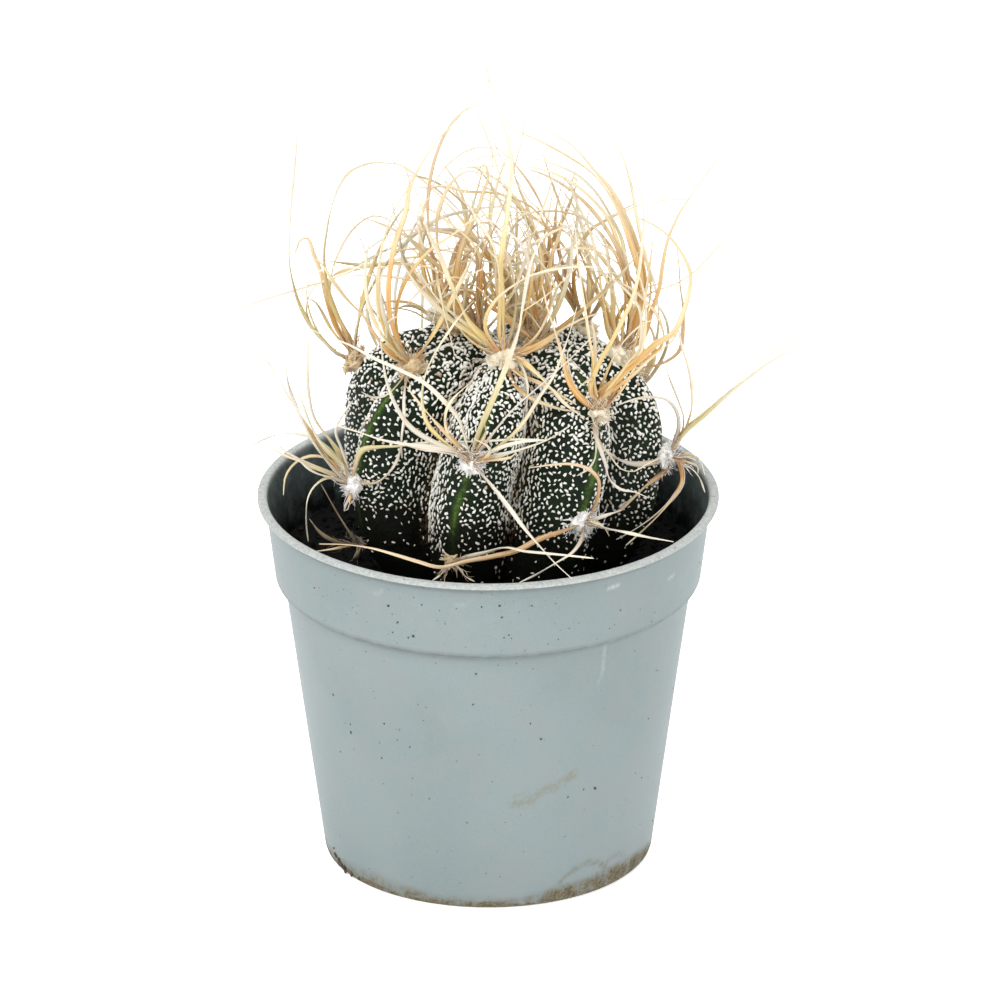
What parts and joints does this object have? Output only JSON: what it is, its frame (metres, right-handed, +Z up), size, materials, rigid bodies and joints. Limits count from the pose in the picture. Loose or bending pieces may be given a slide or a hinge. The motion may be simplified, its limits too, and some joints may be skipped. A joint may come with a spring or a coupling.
{
  "type": "potted goat horn cactus",
  "caption": "Small ribbed globe cactus with long twisted papery spines, growing in soil in a tapered plastic nursery pot.",
  "frame": {"origin": "centre of the pot's flat underside, on the plane that the pot stands on", "axes": "+Z up along the pot's axis; -Y is the front side; +X is to the right seen from the front"},
  "size_m": [0.0816, 0.0725, 0.127],
  "materials": {
    "pot_plastic": "grey-blue injection-moulded plastic, satin, scuffed and dusty",
    "potting_soil": "loose dark peat and grit, damp and matt",
    "cactus_skin": "dark green waxy skin flecked with white felt tufts",
    "spine_paper": "dry papery spines, cream to golden brown, on white to tan wool"
  },
  "bodies": {
    "root": {"nursery_pot": "pot_plastic", "potting_soil": "potting_soil", "cactus_stem": "cactus_skin", "spines_rib1_low": "spine_paper", "spines_rib1_middle": "spine_paper", "spines_rib1_upper": "spine_paper", "spines_rib1_crown": "spine_paper", "spines_rib2_low": "spine_paper", "spines_rib2_middle": "spine_paper", "spines_rib2_upper": "spine_paper", "spines_rib3_middle": "spine_paper", "spines_rib3_upper": "spine_paper", "spines_rib3_crown": "spine_paper", "spines_rib4_middle": "spine_paper", "spines_rib4_upper": "spine_paper", "spines_rib5_middle": "spine_paper", "spines_rib5_upper": "spine_paper", "spines_rib5_crown": "spine_paper", "spines_rib6_low": "spine_paper", "spines_rib6_middle": "spine_paper", "spines_rib6_upper": "spine_paper", "spines_rib7_middle": "spine_paper", "spines_rib7_upper": "spine_paper", "spines_rib8_upper": "spine_paper", "spines_rib8_crown": "spine_paper"}
  },
  "joints": []
}
